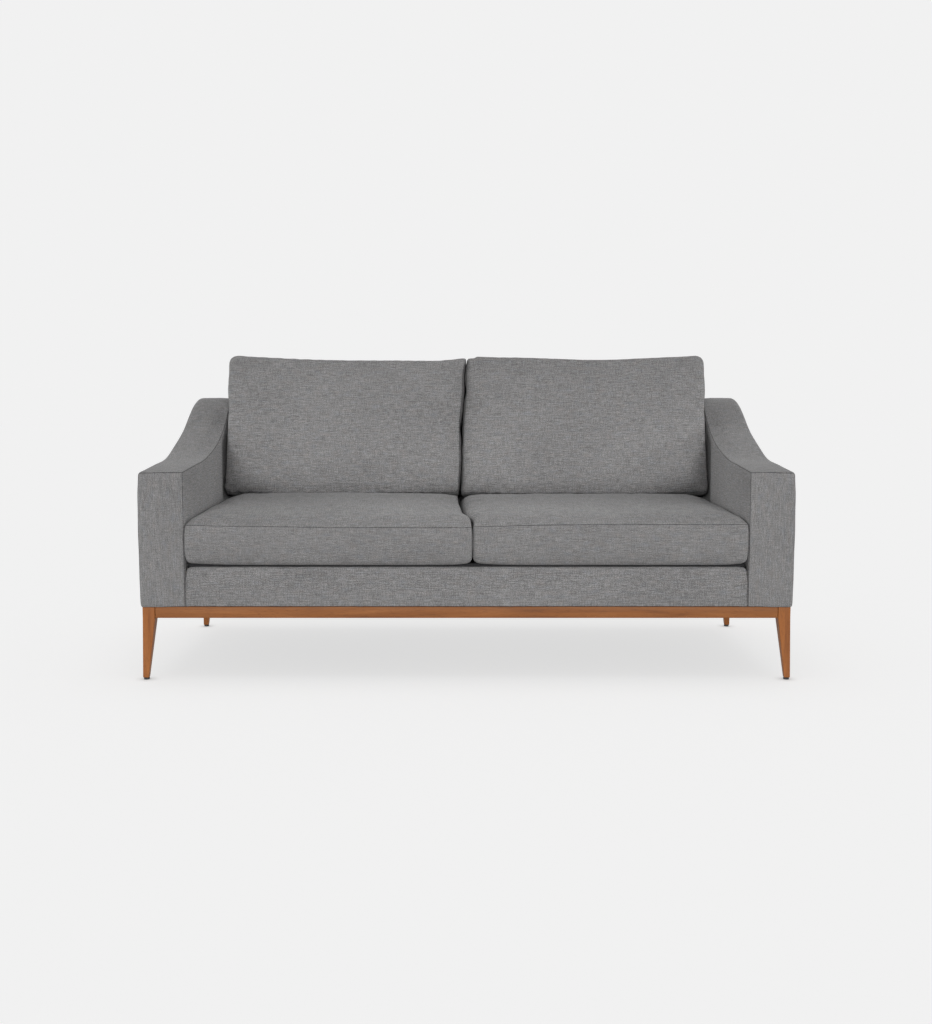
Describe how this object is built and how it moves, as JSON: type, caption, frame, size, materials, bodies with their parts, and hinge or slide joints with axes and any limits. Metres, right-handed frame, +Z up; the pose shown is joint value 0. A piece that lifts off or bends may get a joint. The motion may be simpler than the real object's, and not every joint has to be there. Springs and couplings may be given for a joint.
{
  "type": "high back settee",
  "caption": "Upholstered settee with sweeping padded arms, loose seat and back cushions and a wooden base with tapered legs.",
  "frame": {"origin": "on the floor under the middle of the settee", "axes": "+X to the right as seen from the front, +Y to the back, +Z up"},
  "size_m": [1.9, 0.85, 0.9642],
  "materials": {
    "upholstery": "woven melange",
    "cushion": "woven melange",
    "foam": "matte",
    "zip": "matte",
    "wood": "satin oiled",
    "timber": "sawn",
    "steel": "zinc plated",
    "glide": "satin",
    "webbing": "woven",
    "lining": "woven"
  },
  "bodies": {
    "frame": {"base_rail_front": "wood", "base_rail_rear": "wood", "base_rail_left": "wood", "base_rail_right": "wood", "base_cross_rail": "wood", "leg_front_left": "wood", "leg_front_right": "wood", "leg_rear_left": "wood", "leg_rear_right": "wood", "corner_block_front_left": "timber", "corner_block_front_right": "timber", "corner_block_rear_left": "timber", "corner_block_rear_right": "timber", "seat_rail_front": "timber", "seat_rail_rear": "timber", "seat_rail_left": "timber", "seat_rail_right": "timber", "seat_rail_centre": "timber", "arm_board_left": "timber", "arm_board_right": "timber", "arm_top_rail_left": "timber", "arm_top_rail_right": "timber", "back_post_left": "timber", "back_post_right": "timber", "back_top_rail": "timber", "back_lower_rail": "timber", "back_post_centre": "timber", "leg_bolt_front_left": "steel", "leg_bolt_front_right": "steel", "leg_bolt_rear_left": "steel", "leg_bolt_rear_right": "steel", "glide_front_left": "glide", "glide_front_right": "glide", "glide_rear_left": "glide", "glide_rear_right": "glide", "seat_web_1": "webbing", "seat_web_2": "webbing", "seat_web_3": "webbing", "seat_web_4": "webbing", "seat_web_5": "webbing", "seat_web_6": "webbing", "back_lining": "lining", "seat_deck": "lining", "dust_cover": "lining", "arm_cover_left": "upholstery", "arm_cover_right": "upholstery", "back_cover": "upholstery", "front_apron": "upholstery"},
    "seat_cushion_left": {"seat_cushion_left_cover": "cushion", "seat_cushion_left_core": "foam", "seat_cushion_left_zip": "zip"},
    "seat_cushion_right": {"seat_cushion_right_cover": "cushion", "seat_cushion_right_core": "foam", "seat_cushion_right_zip": "zip"},
    "back_cushion_left": {"back_cushion_left_cover": "cushion", "back_cushion_left_core": "foam", "back_cushion_left_zip": "zip"},
    "back_cushion_right": {"back_cushion_right_cover": "cushion", "back_cushion_right_core": "foam", "back_cushion_right_zip": "zip"}
  },
  "joints": [
    {"name": "seat_cushion_left_pull", "type": "slide", "parent": "frame", "child": "seat_cushion_left", "axis": [0, -1, 0], "range_m": [0, 0.74]},
    {"name": "seat_cushion_right_pull", "type": "slide", "parent": "frame", "child": "seat_cushion_right", "axis": [0, -1, 0], "range_m": [0, 0.74]},
    {"name": "back_cushion_left_lift", "type": "slide", "parent": "frame", "child": "back_cushion_left", "axis": [0, 0, 1], "range_m": [0, 0.5]},
    {"name": "back_cushion_right_lift", "type": "slide", "parent": "frame", "child": "back_cushion_right", "axis": [0, 0, 1], "range_m": [0, 0.5]}
  ]
}
